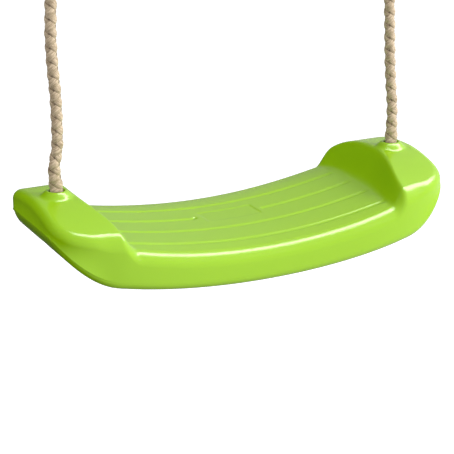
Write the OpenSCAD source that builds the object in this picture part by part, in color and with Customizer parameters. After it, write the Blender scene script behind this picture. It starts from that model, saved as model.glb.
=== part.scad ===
// Moulded plastic swing seat on two braided ropes, each hung from a pivoting hanger under a beam.
// Frame: the origin is on the underside of the beam, midway between the two hangers.
// +X runs along the seat, +Y to its back and +Z up. All sizes are in mm.

/* [Seat] */
// Half of the seat's length
seat_half_length = 218; // [200:1:230]
// Half of the seat's depth, front to back
seat_half_depth = 94; // [80:1:100]
// Height of the rope holes' mouths, below the beam
seat_level = -356; // [-600:1:-300]
// Wall of both moulded shells
wall = 3; // [2:0.5:5]
// Depth of the four grip grooves along the tread
groove_depth = 1.6; // [0:0.1:2.5]
// Height of the tread's middle, below the rope holes' mouths
tread_middle = -56; // [-70:1:-40]
// Height of the base's middle, below the rope holes' mouths
base_middle = -93.6; // [-110:0.1:-85]
// Distance between the two rope holes
hole_spacing = 380; // [340:1:400]
// Radius of a rope hole
hole_r = 7.6; // [7.4:0.1:9]

/* [Rope] */
// Radius of the rope
rope_r = 6; // [5:0.5:8]
// Radius of the rope's line round the thimble
eye_r = 24; // [24:1:30]

/* [Hangers] */
// Distance between the two hangers
hanger_spacing = 372; // [340:1:400]
// Depth of the pivot bolt's axis below the beam
pivot_drop = 30; // [26:1:40]
// Radius of the pivot bolt's shank
bolt_r = 5; // [4:0.5:6]
// Distance between a bracket's two screw holes
screw_spacing = 76; // [60:1:90]
// Radius of a screw hole
screw_r = 4.5; // [3:0.5:6]

/* [Hidden] */
$fn = 64;

seat_green = [0.56, 0.80, 0.16];
rope_beige = [0.78, 0.68, 0.52];
zinc_grey = [0.72, 0.73, 0.75];
nylon_white = [0.90, 0.89, 0.85];

// ---- seat surfaces, measured from the level of the rope holes' mouths ----

// Plan outline: flat middle of each end, then one long curve into the front and the back.
end_flat = 28;
corner_power = 3.75;

// Tread: curved along its length, falling a little to the front edge and more to the back edge.
tread_curve = 0.0015;
front_fall = 4;
back_fall = 8.5;

// Raised end blocks that carry the rope holes.
block_top = -5.5;
front_drop = 19;
back_drop = 17;
drop_at = 76;
front_power = 1.6;
back_power = 3;

// Their inner faces: a shoulder that bows inward, a steep face, and a fillet onto the tread.
block_shoulder = 175;
front_bow = 17;
front_bow_at = 80;
back_bow = 11;
back_bow_at = 76;
face_run = 27;
face_run_change = 9.5;
face_run_at = 76;
fillet_part = 0.62;
lip_part = 0.26;
face_slope = 1 / (1 - fillet_part / 2 - lip_part / 2);

// Base: curved along its length, swept up under the end blocks.
base_curve = 0.00115;
sweep_start = 161;
sweep_span = 54;
sweep_rise = 28;

// Radii of the rounded edges, changing from the middle of the seat to its ends.
top_edge_r = 13;
block_edge_r = 9;
block_edge_start = 168;
base_edge_r = 8;
base_edge_end_r = 5.5;
edge_change_start = 150;

// Grip grooves, and the plain panel that interrupts one of them.
groove_lines = [-64, -28, 7.5, 43];
groove_half = 3;
groove_end = 142;
groove_fade = 10;
panel_line = 7.5;
panel_half = 36;

half_stations = [0, 34, 42, 80, 112, 132, 142, 148, 153, 158, 163, 168, 172, 178, 190, 200, 207, 212, 215.5, 217.4, 218];
tread_rows = [-94, -93.4, -91, -87, -81, -74, -67, -64, -61, -46, -31, -28, -25, -10,
              4.5, 7.5, 10.5, 25, 40, 43, 46, 60, 74, 81, 87, 91, 93.4, 94] / 94;
base_rows = [-94, -93, -90.5, -86, -60, 0, 60, 86, 90.5, 93, 94] / 94;
stations = concat([for (i = [len(half_stations) - 1 : -1 : 1]) -half_stations[i]], half_stations);

function ease(t) = let (u = min(1, max(0, t))) u * u * (3 - 2 * u);

function half_length(inset) = seat_half_length - inset;
function half_depth(x, inset) =
  end_flat + (seat_half_depth - inset - end_flat)
    * pow(max(0, 1 - pow(abs(x) / half_length(inset), corner_power)), 1 / corner_power);

// Distance from a point to the plan outline.
function to_outline(x, y, inset) =
  let (span = seat_half_depth - inset - end_flat)
  let (u = abs(x) / half_length(inset), v = max(0, abs(y) - end_flat) / span)
  let (rho = max(0.001, pow(pow(u, corner_power) + pow(v, corner_power), 1 / corner_power)))
  let (gx = pow(u / rho, corner_power - 1) / half_length(inset), gy = pow(v / rho, corner_power - 1) / span)
  max(0, (1 - rho) / norm([gx, gy]));

// How far an edge of radius r has fallen away at a distance from the outline.
function edge_fall(distance, r) = r * (1 - sqrt(max(0, 1 - pow(1 - min(1, distance / r), 2))));

function top_radius(x) = top_edge_r + (block_edge_r - top_edge_r) * ease((abs(x) - block_edge_start) / 20);
function base_radius(x) = base_edge_r + (base_edge_end_r - base_edge_r) * ease((abs(x) - edge_change_start) / 60);

function tread_height(x, y) =
  tread_middle + tread_curve * x * x / 2 - (y < 0 ? front_fall : back_fall) * pow(abs(y) / seat_half_depth, 4);
function block_height(y) = y < 0
  ? block_top - front_drop * pow(-y / drop_at, front_power)
  : block_top - back_drop * pow(y / drop_at, back_power);
function shoulder(y) = block_shoulder
  - (y < 0 ? front_bow * ease(-y / front_bow_at) : back_bow * pow(y / back_bow_at, 2));
function block_share(x, y) =
  let (run = face_run - face_run_change * ease(abs(y) / face_run_at))
  let (t = min(1, max(0, (abs(x) - shoulder(y)) / run + 1)))
  t < fillet_part ? face_slope * t * t / (2 * fillet_part)
    : t < 1 - lip_part ? face_slope * (t - fillet_part / 2)
    : 1 - face_slope * (1 - t) * (1 - t) / (2 * lip_part);
function upper_height(x, y) =
  let (tread = tread_height(x, y))
  tread + block_share(x, y) * (block_height(y) - tread);
function base_height(x) =
  base_middle + base_curve * x * x / 2 + sweep_rise * pow(max(0, abs(x) - sweep_start) / sweep_span, 2);
function seam_height(x) = base_height(x) + base_radius(x);

function groove_cut(x, y) =
  let (near = min([for (line = groove_lines) abs(y - line)]))
  let (over_panel = abs(y - panel_line) < groove_half && abs(x) < panel_half)
  over_panel ? 0 : groove_depth * max(0, 1 - near / groove_half) * ease((groove_end - abs(x)) / groove_fade);

// One point of a moulded surface; part is a share of the half depth, and inset goes into the plastic.
function plan_x(x, inset) = x * half_length(inset) / seat_half_length;
function plan_point(x, part, inset) = let (px = plan_x(x, inset)) [px, part * half_depth(px, inset)];
function upper_point(x, part, inset) =
  let (p = plan_point(x, part, inset))
  let (cut = inset == 0 ? groove_cut(p[0], p[1]) : 0)
  [p[0], p[1], upper_height(p[0], p[1]) - inset - cut
    - edge_fall(to_outline(p[0], p[1], inset), top_radius(p[0]) - inset)];
function base_point(x, part, inset) =
  let (p = plan_point(x, part, inset))
  [p[0], p[1], base_height(p[0]) + inset + edge_fall(to_outline(p[0], p[1], inset), base_radius(p[0]) - inset)];
function seam_point(x, part, inset) =
  let (p = plan_point(x, part, inset))
  [p[0], p[1], seam_height(p[0])];

// ---- grids of points and their faces ----

// Indices round the edge of a grid, anticlockwise seen from above.
function edge_loop(columns, rows) = concat(
  [for (i = [0 : columns - 1]) [i, 0]],
  [for (j = [1 : rows - 1]) [columns - 1, j]],
  [for (i = [columns - 2 : -1 : 0]) [i, rows - 1]],
  [for (j = [rows - 2 : -1 : 1]) [0, j]]
);

// Triangles of a grid that faces up, and of one that faces down.
function grid_up(columns, rows, first) = [
  for (i = [0 : columns - 2]) for (j = [0 : rows - 2])
    let (a = first + i * rows + j, b = a + rows)
    each [[a, a + 1, b + 1], [a, b + 1, b]]
];
function flipped(faces) = [for (f = faces) [f[2], f[1], f[0]]];

// Triangles of a band between two loops; the first loop is above, seen from outside.
function band(upper, lower) = [
  for (k = [0 : len(upper) - 1])
    let (n = (k + 1) % len(upper))
    each [[upper[k], upper[n], lower[n]], [upper[k], lower[n], lower[k]]]
];

module top_skin() {
  columns = len(stations);
  rows = len(tread_rows);
  grid = columns * rows;
  loop = edge_loop(columns, rows);
  outer_loop = [for (k = loop) k[0] * rows + k[1]];
  inner_loop = [for (k = outer_loop) k + grid];
  outer_seam = [for (k = [0 : len(loop) - 1]) 2 * grid + k];
  inner_seam = [for (k = outer_seam) k + len(loop)];
  points = concat(
    [for (x = stations) for (part = tread_rows) upper_point(x, part, 0)],
    [for (x = stations) for (part = tread_rows) upper_point(x, part, wall)],
    [for (k = loop) seam_point(stations[k[0]], tread_rows[k[1]], 0)],
    [for (k = loop) seam_point(stations[k[0]], tread_rows[k[1]], wall)]
  );
  polyhedron(points, concat(
    grid_up(columns, rows, 0),
    flipped(grid_up(columns, rows, grid)),
    band(outer_loop, outer_seam),
    flipped(band(inner_loop, inner_seam)),
    band(outer_seam, inner_seam)
  ));
}

module base_skin() {
  columns = len(stations);
  rows = len(base_rows);
  grid = columns * rows;
  outer_loop = [for (k = edge_loop(columns, rows)) k[0] * rows + k[1]];
  inner_loop = [for (k = outer_loop) k + grid];
  points = concat(
    [for (x = stations) for (part = base_rows) base_point(x, part, 0)],
    [for (x = stations) for (part = base_rows) base_point(x, part, wall)]
  );
  polyhedron(points, concat(
    flipped(grid_up(columns, rows, 0)),
    grid_up(columns, rows, grid),
    flipped(band(outer_loop, inner_loop))
  ));
}

// Everything above the middle of the base's wall, up to the pocket roofs.
module above_base() {
  columns = len(stations);
  rows = len(base_rows);
  grid = columns * rows;
  lower_loop = [for (k = edge_loop(columns, rows)) k[0] * rows + k[1]];
  upper_loop = [for (k = lower_loop) k + grid];
  points = concat(
    [for (x = stations) for (part = base_rows) base_point(x, part, wall / 2)],
    [for (x = stations) for (part = base_rows) let (p = plan_point(x, part, wall / 2)) [p[0], p[1], pocket_roof]]
  );
  polyhedron(points, concat(
    flipped(grid_up(columns, rows, 0)),
    grid_up(columns, rows, grid),
    band(upper_loop, lower_loop)
  ));
}

// ---- rope holes ----

collar = [[13.2, -21], [13.2, -9.5], [17.5, -9.5], [15.8, -6], [13.2, -2.4], [10.8, -0.5], [9.2, 0]];
hole_edge = 1.1;
pocket_roof = -21;
pocket_r = 20;
washer_r = 17;
washer_thick = 3;
knot_r = 14;
knot_cut = 4;
seat_x = hole_spacing / 2;
washer_top = pocket_roof - wall;
washer_base = washer_top - washer_thick;

module at_holes() {
  for (side = [-1, 1])
    translate([side * seat_x, 0, 0]) children();
}

module seat_top_shell() {
  color(seat_green)
    translate([0, 0, seat_level])
      difference() {
        union() {
          top_skin();
          at_holes() rotate_extrude() polygon(concat([[hole_r - 1, -21]], collar, [[hole_r, -hole_edge], [hole_r - 1, -hole_edge]]));
        }
        at_holes() translate([0, 0, pocket_roof - 1]) cylinder(h = 40, r = hole_r);
      }
}

module seat_base_pan() {
  color(seat_green)
    translate([0, 0, seat_level])
      difference() {
        base_skin();
        at_holes() translate([0, 0, -101]) cylinder(h = 101, r = pocket_r + wall);
      }
}

// The cup over a knot fills the pan's hole up to the middle of the pan's wall.
module knot_cup(side) {
  color(seat_green)
    translate([0, 0, seat_level])
      difference() {
        intersection() {
          above_base();
          translate([side * seat_x, 0, -100]) cylinder(h = 100, r = pocket_r + wall);
        }
        translate([side * seat_x, 0, -101]) cylinder(h = 101 + washer_top, r = pocket_r);
        translate([side * seat_x, 0, -40]) cylinder(h = 40, r = hole_r);
      }
}

// ---- rope ----

hanger_x = hanger_spacing / 2;
bow_r = 16;
rod_r = 4;
leg = 25;
thimble_r = 14.8;
thimble_half = 8;
crown_r = 11;
bow_centre = -pivot_drop - leg;
rod_bottom = bow_centre - bow_r;
eye_z = rod_bottom + rod_r - thimble_r + 0.1;
strand_y = 6.2;
ferrule_top = eye_z - 40;
ferrule_long = 26;
ferrule_base = ferrule_top - ferrule_long;

// Height above the rope hole's mouth, and offsets from the hole along X and Y.
left_rise = [[0, 0, 0], [-1.5, 0, 22], [2.5, 0.5, 43], [3.5, 1.5, 70], [3.3, 2.5, 95], [2, 3.5, 120],
             [1.6, 4.5, 150], [3.2, 5.6, 178]];
right_rise = [[0.5, 0, 0], [0.4, 0, 36], [-1.5, 1, 62], [-3, 2, 88], [-4, 3.5, 127], [-4.6, 5, 160], [-4, 6, 190]];

// Offsets along Y and Z from the centre of the thimble, from the ferrule, round the eye and back down.
eye_route = [[6.2, -64], [6.2, -52], [6.2, -41], [8.8, -28], [16, -18], [22, -9.7], [24, 0], [22.2, 9.2], [17, 17],
             [9.2, 22.2], [0, 24], [-9.2, 22.2], [-17, 17], [-22.2, 9.2], [-24, 0], [-22, -9.7], [-16, -18],
             [-8.8, -28], [-6.2, -41], [-6.2, -56], [-6.2, -73]];

function rope_route(side) = concat(
  [for (p = side < 0 ? left_rise : right_rise) [side * seat_x + p[0], p[1], seat_level + p[2]]],
  [for (p = eye_route) [side * hanger_x, p[0], eye_z + p[1]]]
);

rope_sides = 10;
function route_dir(route, i) =
  let (a = route[max(0, i - 1)], b = route[min(len(route) - 1, i + 1)])
  (b - a) / norm(b - a);
function ring(centre, dir, r) =
  let (across = [1, 0, 0] - dir[0] * dir, u = across / norm(across), v = cross(dir, u))
  [for (k = [0 : rope_sides - 1]) centre + r * (u * cos(360 * k / rope_sides) + v * sin(360 * k / rope_sides))];
function ring_faces(rings) = [
  for (i = [0 : rings - 2]) for (k = [0 : rope_sides - 1])
    let (a = i * rope_sides + k, b = i * rope_sides + (k + 1) % rope_sides)
    each [[a, a + rope_sides, b + rope_sides], [a, b + rope_sides, b]]
];

// The rope's lower end is a ball, so that it can bend at the mouth of its hole.
ball_rings = [[-5.7, 1.8], [-4.2, 4.2]];
module rope_tube(route) {
  rings = concat(
    [for (b = ball_rings) ring(route[0] + [0, 0, b[0]], [0, 0, 1], b[1])],
    [for (i = [0 : len(route) - 1]) ring(route[i], i == 0 ? [0, 0, 1] : route_dir(route, i), rope_r)]
  );
  count = len(rings);
  last = (count - 1) * rope_sides;
  color(rope_beige)
    polyhedron([for (r = rings) each r], concat(
      ring_faces(count),
      [[for (k = [0 : rope_sides - 1]) k]],
      [[for (k = [rope_sides - 1 : -1 : 0]) last + k]]
    ));
}

module rope_tail(side) {
  mouth = side < 0 ? left_rise[0][0] : right_rise[0][0];
  color(rope_beige)
    translate([side * seat_x + mouth, 0, seat_level])
      difference() {
        translate([0, 0, washer_base]) cylinder(h = -washer_base, r = rope_r);
        sphere(r = rope_r + 0.3);
      }
}

module washer(side) {
  color(zinc_grey)
    translate([side * seat_x, 0, seat_level + washer_base])
      difference() {
        cylinder(h = washer_thick, r = washer_r);
        translate([0, 0, -1]) cylinder(h = washer_thick + 2, r = rope_r + 0.8);
      }
}

module knot(side) {
  color(rope_beige)
    translate([side * seat_x, 0, seat_level + washer_base - knot_r + knot_cut])
      intersection() {
        sphere(r = knot_r);
        translate([0, 0, -knot_cut]) cube(2 * knot_r, center = true);
      }
}

// ---- hanger ----

cheek_inner = 22;
cheek_thick = 4;
plate_thick = 5;
plate_half_y = 50;
cheek_r = 14;
cheek_half_y = 26;
barrel_r = 9.5;
barrel_half = 20;
bush_r = 7;
flange_r = 11;
flange_thick = 1.5;
running_gap = 0.08;
nut_high = 10;
head_high = 6.4;
hex_r = 9.8;

module along_x(from, to, r) {
  translate([from, 0, 0]) rotate([0, 90, 0]) cylinder(h = to - from, r = r);
}

module at_pivot(side) {
  translate([side * hanger_x, 0, -pivot_drop]) children();
}

module cheek() {
  difference() {
    union() {
      rotate([90, 0, 90])
        linear_extrude(cheek_thick)
          polygon([[-cheek_half_y, pivot_drop - plate_thick], [-cheek_half_y, 16], [-12.4, -6.5],
                   [12.4, -6.5], [cheek_half_y, 16], [cheek_half_y, pivot_drop - plate_thick]]);
      along_x(0, cheek_thick, cheek_r);
    }
    along_x(-1, cheek_thick + 1, bolt_r + running_gap);
  }
}

module bracket(side) {
  width = 2 * (cheek_inner + cheek_thick) + 6;
  color(zinc_grey)
    at_pivot(side)
      union() {
        difference() {
          translate([-width / 2, -plate_half_y, pivot_drop - plate_thick])
            cube([width, 2 * plate_half_y, plate_thick]);
          for (end = [-1, 1])
            translate([0, end * screw_spacing / 2, pivot_drop - plate_thick - 1])
              cylinder(h = plate_thick + 2, r = screw_r);
        }
        translate([cheek_inner, 0, 0]) cheek();
        translate([-cheek_inner - cheek_thick, 0, 0]) cheek();
      }
}

module pivot_bolt(side) {
  outer = cheek_inner + cheek_thick;
  color(zinc_grey)
    at_pivot(side)
      union() {
        along_x(-outer, outer + nut_high + 3, bolt_r);
        translate([-outer - head_high, 0, 0]) rotate([0, 90, 0]) cylinder(h = head_high, r = hex_r, $fn = 6);
      }
}

module lock_nut(side) {
  outer = cheek_inner + cheek_thick;
  color(zinc_grey)
    at_pivot(side)
      difference() {
        union() {
          translate([outer, 0, 0]) rotate([0, 90, 0]) cylinder(h = nut_high - 3, r = hex_r, $fn = 6);
          along_x(outer, outer + nut_high, 7.6);
        }
        along_x(outer - 1, outer + nut_high + 1, bolt_r);
      }
}

module bush(side) {
  color(nylon_white)
    at_pivot(side)
      difference() {
        union() {
          along_x(-barrel_half, barrel_half, bush_r);
          along_x(-barrel_half - flange_thick, -barrel_half, flange_r);
          along_x(barrel_half, barrel_half + flange_thick, flange_r);
        }
        along_x(-barrel_half - 2, barrel_half + 2, bolt_r + running_gap);
      }
}

module stirrup(side) {
  color(zinc_grey)
    at_pivot(side)
      difference() {
        union() {
          along_x(-barrel_half, barrel_half, barrel_r);
          for (end = [-1, 1])
            translate([end * bow_r, 0, -leg]) cylinder(h = leg, r = rod_r);
          translate([0, 0, -leg])
            rotate([90, 0, 0])
              rotate([0, 0, 180])
                rotate_extrude(angle = 180) translate([bow_r, 0]) circle(r = rod_r);
        }
        along_x(-barrel_half - 1, barrel_half + 1, bush_r);
      }
}

module thimble(side) {
  color(nylon_white)
    translate([side * hanger_x, 0, eye_z])
      rotate([0, 90, 0])
        rotate_extrude()
          difference() {
            intersection() {
              translate([thimble_r, -thimble_half]) square([eye_r - 1 - thimble_r, 2 * thimble_half]);
              translate([thimble_r + crown_r, 0]) circle(r = crown_r);
            }
            translate([eye_r, 0]) circle(r = rope_r + 0.1);
          }
}

module ferrule(side) {
  sleeve_r = rope_r + 2.6;
  color(zinc_grey)
    translate([side * hanger_x, 0, ferrule_base])
      difference() {
        union() {
          for (end = [-1, 1])
            translate([0, end * strand_y, 0]) cylinder(h = ferrule_long, r = sleeve_r);
          translate([-sleeve_r, -strand_y, 0]) cube([2 * sleeve_r, 2 * strand_y, ferrule_long]);
        }
        for (end = [-1, 1])
          translate([0, end * strand_y, -1]) cylinder(h = ferrule_long + 2, r = rope_r + 0.05);
      }
}

seat_top_shell();
seat_base_pan();
knot_cup(-1);  // left_knot_cup
knot_cup(1);  // right_knot_cup
bracket(-1);  // left_bracket
pivot_bolt(-1);  // left_pivot_bolt
lock_nut(-1);  // left_lock_nut
bush(-1);  // left_bush
stirrup(-1);  // left_stirrup
thimble(-1);  // left_thimble
ferrule(-1);  // left_ferrule
rope_tube(rope_route(-1));  // left_rope
rope_tail(-1);  // left_rope_tail
washer(-1);  // left_washer
knot(-1);  // left_knot
bracket(1);  // right_bracket
pivot_bolt(1);  // right_pivot_bolt
lock_nut(1);  // right_lock_nut
bush(1);  // right_bush
stirrup(1);  // right_stirrup
thimble(1);  // right_thimble
ferrule(1);  // right_ferrule
rope_tube(rope_route(1));  // right_rope
rope_tail(1);  // right_rope_tail
washer(1);  // right_washer
knot(1);  // right_knot
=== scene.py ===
"""Visual model of the swing seat on two braided ropes, in the CAD model's frame.

Lengths in the shapes' tables and formulas are mm. Camera, floor and lamps are in metres.
"""

import math

import bpy
import numpy as np
from mathutils import Matrix, Vector


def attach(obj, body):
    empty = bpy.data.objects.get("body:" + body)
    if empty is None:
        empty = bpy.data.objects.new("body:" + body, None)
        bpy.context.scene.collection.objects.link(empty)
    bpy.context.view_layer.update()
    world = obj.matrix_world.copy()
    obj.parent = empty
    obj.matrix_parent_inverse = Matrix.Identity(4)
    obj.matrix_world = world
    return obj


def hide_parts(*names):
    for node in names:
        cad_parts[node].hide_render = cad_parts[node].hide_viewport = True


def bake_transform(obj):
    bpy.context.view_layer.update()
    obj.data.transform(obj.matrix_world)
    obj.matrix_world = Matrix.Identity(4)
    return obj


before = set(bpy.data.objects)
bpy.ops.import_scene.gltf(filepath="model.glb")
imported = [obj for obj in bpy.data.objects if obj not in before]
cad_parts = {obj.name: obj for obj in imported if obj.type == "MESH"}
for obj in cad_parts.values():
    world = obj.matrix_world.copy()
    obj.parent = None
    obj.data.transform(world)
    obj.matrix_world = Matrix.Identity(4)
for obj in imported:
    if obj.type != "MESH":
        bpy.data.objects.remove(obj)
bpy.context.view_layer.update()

MM = 0.001
SEAT_LEVEL = -356.0
HOLE_X = 190.0
HOLE_R = 7.6


# ---------------------------------------------------------------- camera

CAMERA_PLACE = (-0.6757, -1.3228, 0.0931)
CAMERA_TURN = math.radians(-26.853)
CAMERA_TILT = math.radians(19.181)
SENSOR_WIDTH = 36
FOCAL_LENGTH = 121.0


def make_camera():
    """Looks down at the seat from its left front, where the photo was taken from."""
    right = Vector((math.cos(CAMERA_TURN), math.sin(CAMERA_TURN), 0))
    level = math.cos(CAMERA_TILT)
    back = Vector((math.sin(CAMERA_TURN) * level, -math.cos(CAMERA_TURN) * level, math.sin(CAMERA_TILT)))
    up = back.cross(right)
    data = bpy.data.cameras.new("camera")
    data.sensor_width = SENSOR_WIDTH
    data.lens = FOCAL_LENGTH
    camera = bpy.data.objects.new("camera", data)
    bpy.context.collection.objects.link(camera)
    place = Matrix((right, up, back)).transposed().to_4x4()
    place.translation = Vector(CAMERA_PLACE)
    camera.matrix_world = place
    bpy.context.scene.camera = camera


# ---------------------------------------------------------------- mesh helpers

def new_mesh(name, points, faces, material):
    """A smooth mesh from points in mm, in the CAD frame."""
    mesh = bpy.data.meshes.new(name)
    mesh.from_pydata([tuple(p) for p in np.asarray(points, float) * MM], [], [tuple(f) for f in faces])
    mesh.validate()
    mesh.polygons.foreach_set("use_smooth", [True] * len(mesh.polygons))
    mesh.update()
    piece = bpy.data.objects.new(name, mesh)
    bpy.context.collection.objects.link(piece)
    mesh.materials.append(material)
    return piece


def unit(v):
    return v / np.linalg.norm(v, axis=-1, keepdims=True)


def smooth_line(points, step):
    """Catmull-Rom curve through the points, evenly spaced, with the distance along it."""
    p = np.asarray(points, float)
    p = np.vstack([2 * p[0] - p[1], p, 2 * p[-1] - p[-2]])
    t = np.linspace(0, 1, 24, endpoint=False)[:, None]
    line = []
    for i in range(1, len(p) - 2):
        a, b, c, d = p[i - 1], p[i], p[i + 1], p[i + 2]
        square = (2 * a - 5 * b + 4 * c - d) * t**2
        cube = (3 * b - a - 3 * c + d) * t**3
        line.append(0.5 * (2 * b + (c - a) * t + square + cube))
    line = np.vstack(line + [p[-2:-1]])
    reach = np.concatenate([[0], np.cumsum(np.linalg.norm(np.diff(line, axis=0), axis=1))])
    count = max(2, int(round(reach[-1] / step)) + 1)
    even = np.linspace(0, reach[-1], count)
    return np.stack([np.interp(even, reach, line[:, k]) for k in range(3)], axis=1), even


def line_frame(line, reference):
    """Direction along the line, and two axes across it, the first close to the reference axis."""
    along = unit(np.gradient(line, axis=0))
    ref = np.asarray(reference, float)
    u = unit(ref - (along @ ref)[:, None] * along)
    return along, u, np.cross(along, u)


def tube_faces(rings, sides, first=0):
    faces = []
    for i in range(rings - 1):
        for k in range(sides):
            a, b = first + i * sides + k, first + i * sides + (k + 1) % sides
            faces.append((a, b, b + sides, a + sides))
    faces.append(tuple(first + k for k in reversed(range(sides))))
    faces.append(tuple(first + (rings - 1) * sides + k for k in range(sides)))
    return faces


# ---------------------------------------------------------------- ropes

# Offsets from the hole along X and Y, and height above its mouth.
LEFT_RISE = [(0, 0, 0), (-1.5, 0, 22), (2.5, 0.5, 43), (3.5, 1.5, 70), (3.3, 2.5, 95), (2, 3.5, 120),
             (1.6, 4.5, 150), (3.2, 5.6, 178)]
RIGHT_RISE = [(0.5, 0, 0), (0.4, 0, 36), (-1.5, 1, 62), (-3, 2, 88), (-4, 3.5, 127), (-4.6, 5, 160),
              (-4, 6, 190)]
# Offsets along Y and Z from the centre of the thimble.
EYE_ROUTE = [(6.2, -64), (6.2, -52), (6.2, -41), (8.8, -28), (16, -18), (22, -9.7), (24, 0), (22.2, 9.2),
             (17, 17), (9.2, 22.2), (0, 24), (-9.2, 22.2), (-17, 17), (-22.2, 9.2), (-24, 0), (-22, -9.7),
             (-16, -18), (-8.8, -28), (-6.2, -41), (-6.2, -56), (-6.2, -73)]
HANGER_X = 186.0
EYE_Z = -81.7
STRAND_PITCH = 26.6
TAIL_DEPTH = 27.0
LINE_STEP = 0.8

# The braid's strands: half their width and thickness, the radius of the ring that they run in, and
# how far each rises and dips as it goes over and under.
HALF_WIDE = 4.15
HALF_THICK = 1.95
STRAND_RING = 3.35
STRAND_LIFT = 0.8
STRAND_SIDES = 18


def rope_route(side):
    rise = LEFT_RISE if side < 0 else RIGHT_RISE
    mouth = rise[0][0]
    return ([(side * HOLE_X + mouth, 0, SEAT_LEVEL - TAIL_DEPTH), (side * HOLE_X + mouth, 0, SEAT_LEVEL - 14)]
            + [(side * HOLE_X + x, y, SEAT_LEVEL + z) for x, y, z in rise]
            + [(side * HANGER_X, y, EYE_Z + z) for y, z in EYE_ROUTE])


def braid(name, line, reach, turn, material, reference=(1, 0, 0), girth=None):
    """Two strands one way and two the other, each over and under in turn, as one mesh of closed tubes."""
    along, u, v = line_frame(line, reference)
    around = np.linspace(0, 2 * math.pi, STRAND_SIDES, endpoint=False)
    flat = np.sign(np.cos(around)) * np.abs(np.cos(around)) ** 0.75
    wide = np.sign(np.sin(around)) * np.abs(np.sin(around)) ** 0.9
    points, faces = [], []
    girth = np.ones(len(reach)) if girth is None else girth
    slope = math.atan(2 * math.pi * STRAND_RING / STRAND_PITCH)
    for way in (1, -1):
        for start in (0, math.pi):
            side_step = (HALF_WIDE * wide)[None, :] * girth[:, None]
            angle = (way * 2 * math.pi * reach / STRAND_PITCH + start + turn)[:, None]
            angle = angle + way * side_step * math.cos(slope) / STRAND_RING
            lift = way * np.cos(4 * math.pi * reach / STRAND_PITCH)[:, None]
            radius = (STRAND_RING + STRAND_LIFT * lift + (HALF_THICK * flat)[None, :]) * girth[:, None]
            out = u[:, None] * np.cos(angle)[..., None] + v[:, None] * np.sin(angle)[..., None]
            shift = -side_step * math.sin(slope)
            rings = line[:, None] + along[:, None] * shift[..., None] + out * radius[..., None]
            faces += tube_faces(len(line), STRAND_SIDES, len(points) * len(line) * STRAND_SIDES)
            points.append(rings.reshape(-1, 3))
    piece = new_mesh(name, np.vstack(points), faces, material)
    add_tube_uv(piece.data, len(line), STRAND_SIDES, reach)
    return piece


def add_tube_uv(mesh, rings, sides, reach):
    """U runs round each strand and V along it, both in turns of about 10 mm."""
    layer = mesh.uv_layers.new(name="strand")
    loops = np.empty(len(mesh.loops), dtype=np.int64)
    mesh.loops.foreach_get("vertex_index", loops)
    per = rings * sides
    tube = loops // per
    ring = (loops % per) // sides
    side = (loops % per) % sides
    face_of = np.repeat(np.arange(len(mesh.polygons)), [p.loop_total for p in mesh.polygons])
    first_side = np.full(len(mesh.polygons), sides)
    np.minimum.at(first_side, face_of, side)
    last_side = np.zeros(len(mesh.polygons), np.int64)
    np.maximum.at(last_side, face_of, side)
    wrap = (first_side == 0) & (last_side == sides - 1)
    turn = side / sides + ((side == 0) & wrap[face_of])
    values = np.stack([turn, reach[ring] / 10 + tube * 7.3], axis=1).astype(np.float32)
    layer.data.foreach_set("uv", values.ravel())


# ---------------------------------------------------------------- seat surfaces

# Plan outline: half its length and depth, the half width of its flat ends, and the power of its corners.
HALF_LENGTH = 218.0
HALF_DEPTH = 94.0
END_FLAT = 28.0
CORNER_POWER = 3.75

# Tread: its height in the middle, its curve along X, and how far it falls to the front and back edges.
TREAD_MIDDLE = -56.0
TREAD_CURVE = 0.0015
FRONT_FALL = 4.0
BACK_FALL = 8.5

# End blocks: their top, and how it drops towards the front and the back.
BLOCK_TOP = -5.5
DROP_AT = 76.0
FRONT_DROP = 19.0
FRONT_POWER = 1.6
BACK_DROP = 17.0
BACK_POWER = 3

# Their inner faces: a shoulder that bows inward, and the width and curved parts of the slope below it.
SHOULDER = 175.0
FRONT_BOW = 17.0
FRONT_BOW_AT = 80.0
BACK_BOW = 11.0
BACK_BOW_AT = 76.0
FACE_RUN = 27.0
FACE_RUN_CHANGE = 9.5
FACE_RUN_AT = 76.0
FILLET_PART = 0.62
LIP_PART = 0.26

# Base: curved along X, and swept up under the end blocks.
BASE_MIDDLE = -93.6
BASE_CURVE = 0.00115
SWEEP_START = 161.0
SWEEP_SPAN = 54.0
SWEEP_RISE = 28.0

# Radii of the rounded edges, from the middle of the seat to its ends.
TOP_EDGE_R = 13.0
BLOCK_EDGE_R = 9.0
BASE_EDGE_R = 8.0
BASE_EDGE_END_R = 5.5

# Grip grooves, and the groove that the plain panel interrupts.
GROOVES = (-64.0, -28.0, 7.5, 43.0)
PANEL_GROOVE = 7.5
GROOVE_HALF = 3.7
GROOVE_DEPTH = 1.3
GROOVE_END = 146.5
GROOVE_FADE = 9.0

# The panel's sides, its depth and the width of its edge, and the dimple beside it.
PANEL_X = (-30.0, 33.0)
PANEL_Y = (-4.5, 25.0)
PANEL_DEPTH = 0.55
PANEL_EDGE = 1.2
DIMPLE = (-38.0, 9.7)
DIMPLE_R = 2.9
DIMPLE_DEPTH = 3.0

# Collars of the rope holes: their flat top, the width of their slope, and the rounded mouth.
COLLAR_R = 8.8
COLLAR_SLOPE = 8.8
MOUTH_R = 9.4
MOUTH_ROUND = 1.6

# Heights of the loops down a rope hole's wall and up a knot pocket's wall, the last at its closed end.
HOLE_DEPTHS = (-8.0, -21.0)
POCKET_DEPTHS = (-40.0, -24.0)


def ease(t):
    t = np.clip(t, 0, 1)
    return t * t * (3 - 2 * t)


def half_depth(x):
    u = np.minimum(1, np.abs(x) / HALF_LENGTH)
    return END_FLAT + (HALF_DEPTH - END_FLAT) * (1 - u**CORNER_POWER) ** (1 / CORNER_POWER)


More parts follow.
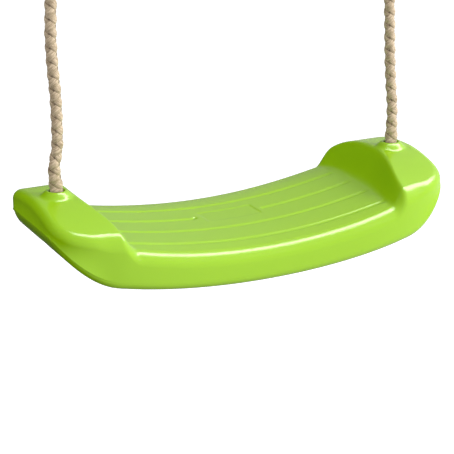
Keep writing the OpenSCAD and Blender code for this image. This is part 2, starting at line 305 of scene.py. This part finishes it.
def to_outline(x, y):
    """Distance from a point to the plan outline."""
    span = HALF_DEPTH - END_FLAT
    u = np.abs(x) / HALF_LENGTH
    v = np.maximum(0, np.abs(y) - END_FLAT) / span
    rho = np.maximum(0.001, (u**CORNER_POWER + v**CORNER_POWER) ** (1 / CORNER_POWER))
    gx = (u / rho) ** (CORNER_POWER - 1) / HALF_LENGTH
    gy = (v / rho) ** (CORNER_POWER - 1) / span
    return np.maximum(0, (1 - rho) / np.sqrt(gx**2 + gy**2))


def edge_fall(distance, r):
    """How far an edge of radius r has fallen away at a distance from the outline."""
    q = np.minimum(1, distance / r)
    return r * (1 - np.sqrt(np.maximum(0, 1 - (1 - q) ** 2)))


def top_radius(x):
    return TOP_EDGE_R + (BLOCK_EDGE_R - TOP_EDGE_R) * ease((np.abs(x) - 168) / 20)


def base_radius(x):
    return BASE_EDGE_R + (BASE_EDGE_END_R - BASE_EDGE_R) * ease((np.abs(x) - 150) / 60)


def tread_height(x, y):
    fall = np.where(y < 0, FRONT_FALL, BACK_FALL)
    return TREAD_MIDDLE + TREAD_CURVE * x * x / 2 - fall * (np.abs(y) / HALF_DEPTH) ** 4


def block_height(y):
    deep = np.abs(y) / DROP_AT
    return BLOCK_TOP - np.where(y < 0, FRONT_DROP * deep**FRONT_POWER, BACK_DROP * deep**BACK_POWER)


def block_share(x, y):
    """0 on the tread, 1 on the block's top, and in between a fillet, a steep face and a lip."""
    bow = np.where(y < 0, FRONT_BOW * ease(-y / FRONT_BOW_AT), BACK_BOW * (y / BACK_BOW_AT) ** 2)
    run = FACE_RUN - FACE_RUN_CHANGE * ease(np.abs(y) / FACE_RUN_AT)
    slope = 1 / (1 - FILLET_PART / 2 - LIP_PART / 2)
    t = np.clip((np.abs(x) - (SHOULDER - bow)) / run + 1, 0, 1)
    foot = slope * t**2 / (2 * FILLET_PART)
    face = slope * (t - FILLET_PART / 2)
    top = 1 - slope * (1 - t) ** 2 / (2 * LIP_PART)
    return np.where(t < FILLET_PART, foot, np.where(t < 1 - LIP_PART, face, top))


def base_height(x):
    sweep = np.maximum(0, np.abs(x) - SWEEP_START) / SWEEP_SPAN
    return BASE_MIDDLE + BASE_CURVE * x * x / 2 + SWEEP_RISE * sweep**2


def seam_height(x):
    return base_height(x) + base_radius(x)


def groove_cut(x, y):
    cut = np.zeros_like(x)
    for line in GROOVES:
        near = np.clip(np.abs(y - line) / GROOVE_HALF, 0, 1)
        depth = GROOVE_DEPTH * (1 - near**2) ** 1.5 * ease((GROOVE_END - np.abs(x)) / GROOVE_FADE)
        if line == PANEL_GROOVE:
            depth = depth * ease((np.abs(x + 1.5) - 37.5) / 3)
        cut = np.maximum(cut, depth)
    return cut


def panel_cut(x, y):
    """A plain shallow panel where one groove is interrupted, and a small dimple beside it."""
    inside_x = np.minimum(x - PANEL_X[0], PANEL_X[1] - x)
    inside = np.minimum(inside_x, np.minimum(y - PANEL_Y[0], PANEL_Y[1] - y))
    away = ((x - DIMPLE[0]) ** 2 + (y - DIMPLE[1]) ** 2) / DIMPLE_R**2
    dimple = DIMPLE_DEPTH * np.maximum(0, 1 - away)
    return np.maximum(PANEL_DEPTH * ease(inside / PANEL_EDGE), dimple)


def upper_height(x, y):
    tread = tread_height(x, y)
    z = tread + block_share(x, y) * (block_height(y) - tread)
    z = z - groove_cut(x, y) - panel_cut(x, y)
    z = z - edge_fall(to_outline(x, y), top_radius(x))
    r = np.sqrt((np.abs(x) - HOLE_X) ** 2 + y**2)
    collar = 1 - ease((r - COLLAR_R) / COLLAR_SLOPE) ** 0.9
    z = z + collar * (0 - z)
    return z - np.where(r < MOUTH_R, edge_fall(np.maximum(0, r - HOLE_R), MOUTH_ROUND), 0)


def lower_height(x, y):
    return base_height(x) + edge_fall(to_outline(x, y), base_radius(x))


def spread(stops):
    """Values from (start, end, step) stretches."""
    line = [np.arange(a, b, s) for a, b, s in stops]
    return np.concatenate(line + [[stops[-1][1]]])


def plan_grid():
    """Stations along X, finer at the panel, the blocks and the ends, and rows along Y, finer at the edges."""
    half = spread([(0, 30, 2.0), (30, 44, 0.7), (44, 140, 2.0), (140, 196, 1.2), (196, 210, 1.0),
                   (210, 216, 0.5), (216, 218, 0.2)])
    stations = np.concatenate([-half[:0:-1], half])
    inner = spread([(0, 76, 0.75), (76, 88, 0.6), (88, 93, 0.35), (93, 94, 0.1)])
    parts = np.concatenate([-inner[:0:-1], inner]) / HALF_DEPTH
    x = np.repeat(stations[:, None], len(parts), axis=1)
    y = parts[None, :] * half_depth(stations)[:, None]
    return x, y


def rim_of(i0, i1, j0, j1):
    """The grid places round a rectangle, anticlockwise from above."""
    return ([(i, j0) for i in range(i0, i1)] + [(i1, j) for j in range(j0, j1)]
            + [(i, j1) for i in range(i1, i0, -1)] + [(i0, j) for j in range(j1, j0, -1)])


def add_ring(points, faces, previous, ring, z):
    """Joins a closed loop inside the previous one, and returns its indices."""
    first = len(points)
    points.extend(zip(ring[:, 0], ring[:, 1], z))
    count = len(ring)
    current = list(range(first, first + count))
    for k in range(count):
        n = (k + 1) % count
        faces.append((previous[k], previous[n], current[n], current[k]))
    return current


def add_hole(points, faces, outer, side, height, radii, depths):
    """A patch of rings from a rectangle of the grid in to a round hole, its wall, and its closed end."""
    axis = np.array([side * HOLE_X, 0])
    rim = np.array([points[k][:2] for k in outer])
    turn = np.arctan2(rim[:, 1], rim[:, 0] - axis[0])
    circle = np.stack([np.cos(turn), np.sin(turn)], axis=1)
    rings = [rim * (1 - share) + (axis + circle * radii[-1]) * share for share in (0.25, 0.5, 0.75)]
    rings += [axis + circle * r for r in reversed(radii)]
    previous = outer
    for ring in rings:
        previous = add_ring(points, faces, previous, ring, height(ring[:, 0], ring[:, 1]))
    for z in depths:
        previous = add_ring(points, faces, previous, axis + circle * radii[0], np.full(len(rim), z))
    centre = len(points)
    points.append((axis[0], 0, depths[-1]))
    for k in range(len(previous)):
        faces.append((previous[k], previous[(k + 1) % len(previous)], centre))


def shell_skin(height, radii, depths):
    """The outer face of one shell: a grid over the plan with two holes. Also returns its edge loop."""
    x, y = plan_grid()
    columns, rows = x.shape
    reach = radii[-1] + 5
    near = (np.abs(np.abs(x) - HOLE_X) < reach) & (np.abs(y) < reach)
    cell = near[:-1, :-1] & near[1:, :-1] & near[:-1, 1:] & near[1:, 1:]
    frames = []
    for side in (-1, 1):
        i_list, j_list = np.where(cell & ((x[:-1, :-1] * side) > 0))
        i0, i1, j0, j1 = i_list.min(), i_list.max() + 1, j_list.min(), j_list.max() + 1
        cell[i0:i1, j0:j1] = True
        frames.append((side, [i * rows + j for i, j in rim_of(i0, i1, j0, j1)]))
    points = list(zip(x.ravel(), y.ravel(), height(x, y).ravel()))
    faces = []
    for i in range(columns - 1):
        for j in range(rows - 1):
            if not cell[i, j]:
                a = i * rows + j
                faces.append((a, a + rows, a + rows + 1, a + 1))
    for side, outer in frames:
        add_hole(points, faces, outer, side, height, radii, depths)
    edge = [i * rows + j for i, j in rim_of(0, columns - 1, 0, rows - 1)]
    return points, faces, edge, (columns, rows)


def add_wall(points, faces, edge, rings, downward):
    """Joins loops to a shell's edge, each with its inset from the outline and height above the seam."""
    flat = np.array([points[k][:2] for k in edge])
    scale = (HALF_LENGTH, HALF_DEPTH)
    previous = edge
    for inset, above in rings:
        first = len(points)
        drawn = [flat[:, axis] * (scale[axis] - inset) / scale[axis] for axis in (0, 1)]
        points.extend(zip(*drawn, seam_height(flat[:, 0]) + above))
        current = list(range(first, first + len(edge)))
        for k in range(len(edge)):
            n = (k + 1) % len(edge)
            if downward:
                faces.append((previous[n], previous[k], current[k], current[n]))
            else:
                faces.append((previous[k], previous[n], current[n], current[k]))
        previous = current
    return previous


def close_across(points, loop, shape, half_room, roof):
    """Strips from the front edge to the back one close a shell's inside, raised to clear the knot pockets."""
    columns, rows = shape
    front = loop[:columns]
    right = loop[columns - 1:columns + rows - 1]
    back = loop[columns + rows - 2:2 * columns + rows - 2][::-1]
    left = [loop[0]] + loop[2 * columns + rows - 3:][::-1]
    lines = []
    for i in range(1, columns - 1):
        x, _, low = points[front[i]]
        high = roof if abs(abs(x) - HOLE_X) < half_room - 1 else low
        first = len(points)
        points.extend([(x, -half_room - 5, low), (x, -half_room, high), (x, half_room, high),
                       (x, half_room + 5, low)])
        lines.append([front[i], *range(first, first + 4), back[i]])
    skins = [(one[k], one[k + 1], other[k + 1], other[k])
             for one, other in zip(lines[:-1], lines[1:]) for k in range(5)]
    skins.append(tuple(left + lines[0][::-1]))
    skins.append(tuple(lines[-1] + right[::-1]))
    return skins


def end_share(x):
    """Nothing along the middle of the seat, and one round its two ends."""
    return ease((np.abs(x) - 165) / 35)


def seat_top(material):
    """The top shell, whose wall ends in a fine bead and an open parting line at the seat's ends."""
    radii = [7.6, 7.66, 7.8, 8.0, 8.3, 8.7, 9.2, 9.8, 10.5, 11.2, 12.0, 12.8, 13.6, 14.4, 15.3, 16.4, 17.8]
    points, faces, edge, shape = shell_skin(upper_height, radii, HOLE_DEPTHS)
    share = end_share(np.array([points[k][0] for k in edge]))
    gap = 0.06 + 0.45 * share
    bead = -0.5 * share
    rings = [(0.0, gap + 1.4), (bead, gap + 0.9), (bead, gap + 0.1 + 0.3 * share), (0.6 * bead, gap),
             (0.05 + 0.25 * share, 0.04), (3.0, 0.04)]
    last = add_wall(points, faces, edge, rings, True)
    faces += close_across(points, last, shape, 25.0, -22.4)
    placed = np.asarray(points) + (0, 0, SEAT_LEVEL)
    piece = new_mesh("seat_top_moulding", placed, faces, material)
    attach(piece, "seat")
    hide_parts("seat_top_shell")


def seat_base(material):
    """The base pan with its two knot pockets, its ends set in a little from the top shell."""
    radii = [20.0, 20.4, 21.0, 22.0]
    points, faces, edge, shape = shell_skin(lower_height, radii, POCKET_DEPTHS)
    faces = [tuple(reversed(f)) for f in faces]
    last = add_wall(points, faces, edge, [(0.0, 0.02), (0.2, 0.02), (3.0, -0.05)], False)
    faces += [tuple(reversed(f)) for f in close_across(points, last, shape, 24.0, -23.3)]
    placed = np.asarray(points) + (0, 0, SEAT_LEVEL)
    placed[:, 0] -= np.sign(placed[:, 0]) * 0.9 * ease((np.abs(placed[:, 0]) - 204) / 14)
    piece = new_mesh("seat_base_moulding", placed, faces, material)
    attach(piece, "seat")
    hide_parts("seat_base_pan", "left_knot_cup", "right_knot_cup")


# ---------------------------------------------------------------- materials

def node_material(name):
    material = bpy.data.materials.new(name)
    material.use_nodes = True
    nodes, links = material.node_tree.nodes, material.node_tree.links
    return material, nodes, links, nodes["Principled BSDF"]


def add_node(nodes, kind, **values):
    node = nodes.new(kind)
    for key, value in values.items():
        if key in node.inputs:
            node.inputs[key].default_value = value
        else:
            setattr(node, key, value)
    return node


def seat_plastic():
    material, nodes, links, skin = node_material("seat_plastic")
    skin.inputs["Base Color"].default_value = (0.27, 0.50, 0.002, 1)
    skin.inputs["Specular IOR Level"].default_value = 0.5
    skin.inputs["Subsurface Weight"].default_value = 0.12
    skin.inputs["Subsurface Radius"].default_value = (0.004, 0.006, 0.001)
    place = add_node(nodes, "ShaderNodeTexCoord")
    grain = add_node(nodes, "ShaderNodeTexNoise", Scale=900.0, Detail=2.0)
    soft = add_node(nodes, "ShaderNodeTexNoise", Scale=60.0, Detail=2.0)
    links.new(place.outputs["Object"], grain.inputs["Vector"])
    links.new(place.outputs["Object"], soft.inputs["Vector"])
    bump = add_node(nodes, "ShaderNodeBump", Strength=0.10, Distance=0.0004)
    links.new(grain.outputs["Fac"], bump.inputs["Height"])
    links.new(bump.outputs["Normal"], skin.inputs["Normal"])
    rough = add_node(nodes, "ShaderNodeMapRange")
    rough.inputs["To Min"].default_value = 0.19
    rough.inputs["To Max"].default_value = 0.25
    links.new(soft.outputs["Fac"], rough.inputs["Value"])
    links.new(rough.outputs["Result"], skin.inputs["Roughness"])
    return material


def rope_fibre():
    material, nodes, links, skin = node_material("rope_fibre")
    place = add_node(nodes, "ShaderNodeUVMap", uv_map="strand")
    skew = add_node(nodes, "ShaderNodeVectorMath", operation="MULTIPLY")
    skew.inputs[1].default_value = (7.0, 0.55, 1.0)
    links.new(place.outputs["UV"], skew.inputs[0])
    yarn = add_node(nodes, "ShaderNodeTexNoise", Scale=2.2, Detail=5.0, Roughness=0.65)
    links.new(skew.outputs["Vector"], yarn.inputs["Vector"])
    fine = add_node(nodes, "ShaderNodeVectorMath", operation="MULTIPLY")
    fine.inputs[1].default_value = (24.0, 1.2, 1.0)
    links.new(place.outputs["UV"], fine.inputs[0])
    fibre = add_node(nodes, "ShaderNodeTexNoise", Scale=2.4, Detail=3.0, Roughness=0.6)
    links.new(fine.outputs["Vector"], fibre.inputs["Vector"])
    both = add_node(nodes, "ShaderNodeMix", data_type="FLOAT")
    both.inputs[0].default_value = 0.5
    links.new(yarn.outputs["Fac"], both.inputs[2])
    links.new(fibre.outputs["Fac"], both.inputs[3])
    tint = add_node(nodes, "ShaderNodeValToRGB")
    tint.color_ramp.elements[0].position = 0.38
    tint.color_ramp.elements[0].color = (0.235, 0.165, 0.09, 1)
    tint.color_ramp.elements[1].position = 0.60
    tint.color_ramp.elements[1].color = (0.63, 0.505, 0.35, 1)
    links.new(both.outputs[0], tint.inputs["Fac"])
    # Painted shade: the strands darken towards the grooves between them and on their inner half, where shade
    # falls, with a little random wobble at its edge.
    across = add_node(nodes, "ShaderNodeSeparateXYZ")
    links.new(place.outputs["UV"], across.inputs[0])
    stray = add_node(nodes, "ShaderNodeMath", operation="MULTIPLY_ADD")
    stray.inputs[1].default_value = 0.16
    stray.inputs[2].default_value = -0.08
    links.new(both.outputs[0], stray.inputs[0])
    uneven = add_node(nodes, "ShaderNodeMath", operation="ADD")
    links.new(across.outputs["X"], uneven.inputs[0])
    links.new(stray.outputs[0], uneven.inputs[1])
    groove = add_node(nodes, "ShaderNodeValToRGB")
    groove.color_ramp.elements[0].position = 0.13
    groove.color_ramp.elements[0].color = (1, 1, 1, 1)
    groove.color_ramp.elements[1].position = 0.90
    groove.color_ramp.elements[1].color = (1, 1, 1, 1)
    # These dark brown stops are the painted shade on the strands' sides and inner half.
    for position in (0.215, 0.80):
        groove.color_ramp.elements.new(position).color = (0.26, 0.20, 0.14, 1)
    links.new(uneven.outputs[0], groove.inputs["Fac"])
    # Multiplies the painted groove shade into the fibre colour.
    shaded = add_node(nodes, "ShaderNodeMix", data_type="RGBA", blend_type="MULTIPLY")
    shaded.inputs[0].default_value = 1.0
    links.new(tint.outputs["Color"], shaded.inputs[6])
    links.new(groove.outputs["Color"], shaded.inputs[7])
    links.new(shaded.outputs[2], skin.inputs["Base Color"])
    skin.inputs["Roughness"].default_value = 0.62
    skin.inputs["Sheen Weight"].default_value = 0.15
    bump = add_node(nodes, "ShaderNodeBump", Strength=0.7, Distance=0.0006)
    links.new(both.outputs[0], bump.inputs["Height"])
    links.new(bump.outputs["Normal"], skin.inputs["Normal"])
    return material


def metal(name, colour, roughness, scale):
    material, nodes, links, skin = node_material(name)
    skin.inputs["Metallic"].default_value = 1.0
    place = add_node(nodes, "ShaderNodeTexCoord")
    mottle = add_node(nodes, "ShaderNodeTexNoise", Scale=scale, Detail=4.0, Roughness=0.6)
    links.new(place.outputs["Object"], mottle.inputs["Vector"])
    tint = add_node(nodes, "ShaderNodeValToRGB")
    tint.color_ramp.elements[0].position = 0.3
    tint.color_ramp.elements[0].color = tuple(c * 0.8 for c in colour) + (1,)
    tint.color_ramp.elements[1].position = 0.7
    tint.color_ramp.elements[1].color = tuple(colour) + (1,)
    links.new(mottle.outputs["Fac"], tint.inputs["Fac"])
    links.new(tint.outputs["Color"], skin.inputs["Base Color"])
    rough = add_node(nodes, "ShaderNodeMapRange")
    rough.inputs["To Min"].default_value = roughness * 0.8
    rough.inputs["To Max"].default_value = roughness * 1.25
    links.new(mottle.outputs["Fac"], rough.inputs["Value"])
    links.new(rough.outputs["Result"], skin.inputs["Roughness"])
    bump = add_node(nodes, "ShaderNodeBump", Strength=0.15, Distance=0.0002)
    links.new(mottle.outputs["Fac"], bump.inputs["Height"])
    links.new(bump.outputs["Normal"], skin.inputs["Normal"])
    return material


def nylon():
    material, nodes, links, skin = node_material("nylon")
    skin.inputs["Base Color"].default_value = (0.80, 0.78, 0.70, 1)
    skin.inputs["Roughness"].default_value = 0.4
    skin.inputs["Subsurface Weight"].default_value = 0.2
    skin.inputs["Subsurface Radius"].default_value = (0.003, 0.003, 0.002)
    place = add_node(nodes, "ShaderNodeTexCoord")
    grain = add_node(nodes, "ShaderNodeTexNoise", Scale=400.0, Detail=2.0)
    links.new(place.outputs["Object"], grain.inputs["Vector"])
    bump = add_node(nodes, "ShaderNodeBump", Strength=0.1, Distance=0.0003)
    links.new(grain.outputs["Fac"], bump.inputs["Height"])
    links.new(bump.outputs["Normal"], skin.inputs["Normal"])
    return material


def floor_paint():
    material, _, _, skin = node_material("floor")
    skin.inputs["Base Color"].default_value = (0.85, 0.85, 0.85, 1)
    skin.inputs["Roughness"].default_value = 0.9
    skin.inputs["Emission Color"].default_value = (1, 1, 1, 1)
    skin.inputs["Emission Strength"].default_value = 0.42
    return material


def backdrop_paint():
    """Plain white, lit by itself."""
    material, _, _, skin = node_material("backdrop")
    skin.inputs["Base Color"].default_value = (0, 0, 0, 1)
    skin.inputs["Specular IOR Level"].default_value = 0
    skin.inputs["Emission Color"].default_value = (1, 1, 1, 1)
    skin.inputs["Emission Strength"].default_value = 1.0
    return material


# ---------------------------------------------------------------- stage

FLOOR_HALF = 6.0
FLOOR_Z = -0.95
BACKDROP_R = 7.5


def make_floor():
    mesh = bpy.data.meshes.new("floor")
    corners = [(-FLOOR_HALF, -FLOOR_HALF), (FLOOR_HALF, -FLOOR_HALF), (FLOOR_HALF, FLOOR_HALF),
               (-FLOOR_HALF, FLOOR_HALF)]
    mesh.from_pydata([(x, y, FLOOR_Z) for x, y in corners], [], [(0, 1, 2, 3)])
    floor = bpy.data.objects.new("floor", mesh)
    bpy.context.collection.objects.link(floor)
    mesh.materials.append(floor_paint())
    floor.visible_diffuse = False
    floor.visible_glossy = False


def make_backdrop():
    """A white sphere round everything, which only the camera sees."""
    bpy.ops.mesh.primitive_uv_sphere_add(segments=48, ring_count=24, radius=BACKDROP_R)
    backdrop = bpy.context.object
    backdrop.name = "backdrop"
    backdrop.data.materials.append(backdrop_paint())
    backdrop.visible_diffuse = False
    backdrop.visible_glossy = False
    backdrop.visible_transmission = False
    backdrop.visible_shadow = False


def make_world():
    """White light from all round, bright from the right front and dim from behind on the left."""
    world = bpy.data.worlds.new("studio")
    world.use_nodes = True
    nodes, links = world.node_tree.nodes, world.node_tree.links
    place = add_node(nodes, "ShaderNodeTexCoord")
    toward = add_node(nodes, "ShaderNodeVectorMath", operation="DOT_PRODUCT")
    toward.inputs[1].default_value = (0.75, -0.6, 0.3)
    links.new(place.outputs["Generated"], toward.inputs[0])
    shade = add_node(nodes, "ShaderNodeMapRange")
    shade.inputs["From Min"].default_value = -0.6
    shade.inputs["From Max"].default_value = 0.75
    shade.inputs["To Min"].default_value = 0.02
    shade.inputs["To Max"].default_value = 1.38
    links.new(toward.outputs["Value"], shade.inputs["Value"])
    links.new(shade.outputs["Result"], nodes["Background"].inputs["Strength"])
    nodes["Background"].inputs["Color"].default_value = (1, 1, 1, 1)
    bpy.context.scene.world = world
    bpy.context.scene.view_settings.view_transform = "Standard"


def area_light(name, place, aim, size, power):
    data = bpy.data.lights.new(name, "AREA")
    data.shape = "RECTANGLE"
    data.size, data.size_y = size
    data.energy = power
    lamp = bpy.data.objects.new(name, data)
    bpy.context.collection.objects.link(lamp)
    lamp.location = place
    lamp.rotation_euler = (Vector(aim) - Vector(place)).to_track_quat("-Z", "Y").to_euler()
    lamp.visible_camera = False
    return lamp


def make_lights():
    """A key and a fill that only light, and a long strip that only shines in the rounded edges."""
    seat = (0, 0, -0.40)
    key = area_light("key", (1.5, -1.5, 0.75), seat, (0.9, 0.9), 38)
    key.visible_glossy = False
    fill = area_light("fill", (-1.4, 0.5, 0.35), seat, (1.5, 1.5), 14)
    fill.visible_glossy = False
    gleam = area_light("gleam", (0.60, -0.12, 0.78), (0.05, -0.06, -0.40), (0.52, 1.7), 36)
    gleam.visible_diffuse = False


# ---------------------------------------------------------------- knots and ropes as pieces

KNOT_MIDDLE = SEAT_LEVEL - 37.5
KNOT_SIZE = 3.1
KNOT_RISE = 5.2
KNOT_GIRTH = 0.76
CUT_END = [(0, 0, 4), (0.5, -1, -6), (1.5, -2.5, -14), (2.5, -4, -19)]
CUT_END_GIRTH = 0.8


def opened(reach):
    """The braid opens a little where it enters the seat."""
    return 1 + 0.16 * ease((55 - reach) / 25)


def make_knot(side, word, body, material):
    """A three-lobed stopper knot pulled up under the washer, with the rope's cut end below it."""
    turn = np.linspace(0, 2 * math.pi, 150)
    lobes = np.stack([KNOT_SIZE * (np.sin(turn) + 2 * np.sin(2 * turn)),
                      KNOT_SIZE * (np.cos(turn) - 2 * np.cos(2 * turn)),
                      -KNOT_RISE * np.sin(3 * turn)], axis=1)
    middle = np.array([side * HOLE_X, 0, KNOT_MIDDLE])
    line, reach = smooth_line(middle + lobes, LINE_STEP)
    girth = np.full(len(reach), KNOT_GIRTH)
    knot = braid(word + "_knot_braid", line, reach, 0.4, material, (0, 0, 1), girth)
    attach(knot, body)
    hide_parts(word + "_knot")
    line, reach = smooth_line(middle + CUT_END, LINE_STEP)
    tail = braid(word + "_cut_end", line, reach, 0.2, material, girth=np.full(len(reach), CUT_END_GIRTH))
    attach(tail, body)
    return [knot, tail]


def make_rope(side, word, inner, material):
    """From the knot's washer up to the hanger's eye and into the ferrule, bending at the hole's mouth."""
    line, reach = smooth_line(rope_route(side), LINE_STEP)
    rope = braid(word + "_rope_braid", line, reach, 0.9, material, girth=opened(reach))
    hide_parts(word + "_rope", word + "_rope_tail")
    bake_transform(rope)
    knot = make_knot(side, word, inner, material)


def paint_hardware(parts):
    for word in ("left", "right"):
        for part, material in parts.items():
            for slot in bpy.data.objects[word + "_" + part].material_slots:
                slot.material = material


# ---------------------------------------------------------------- build

make_camera()
fibre = rope_fibre()
plastic = seat_plastic()
white = nylon()
galvanised = metal("galvanised_steel", (0.62, 0.64, 0.66), 0.42, 160.0)
zinc = metal("bolt_zinc", (0.72, 0.73, 0.74), 0.28, 240.0)
aluminium = metal("aluminium_sleeve", (0.80, 0.81, 0.82), 0.34, 200.0)

make_rope(-1, "left", "seat", fibre)
make_rope(1, "right", "right_tail", fibre)
seat_top(plastic)
seat_base(plastic)
paint_hardware({"bracket": galvanised, "pivot_bolt": zinc, "lock_nut": zinc, "bush": white,
                "stirrup": galvanised, "thimble": white, "ferrule": aluminium, "washer": zinc})

make_floor()
make_backdrop()
make_world()
make_lights()
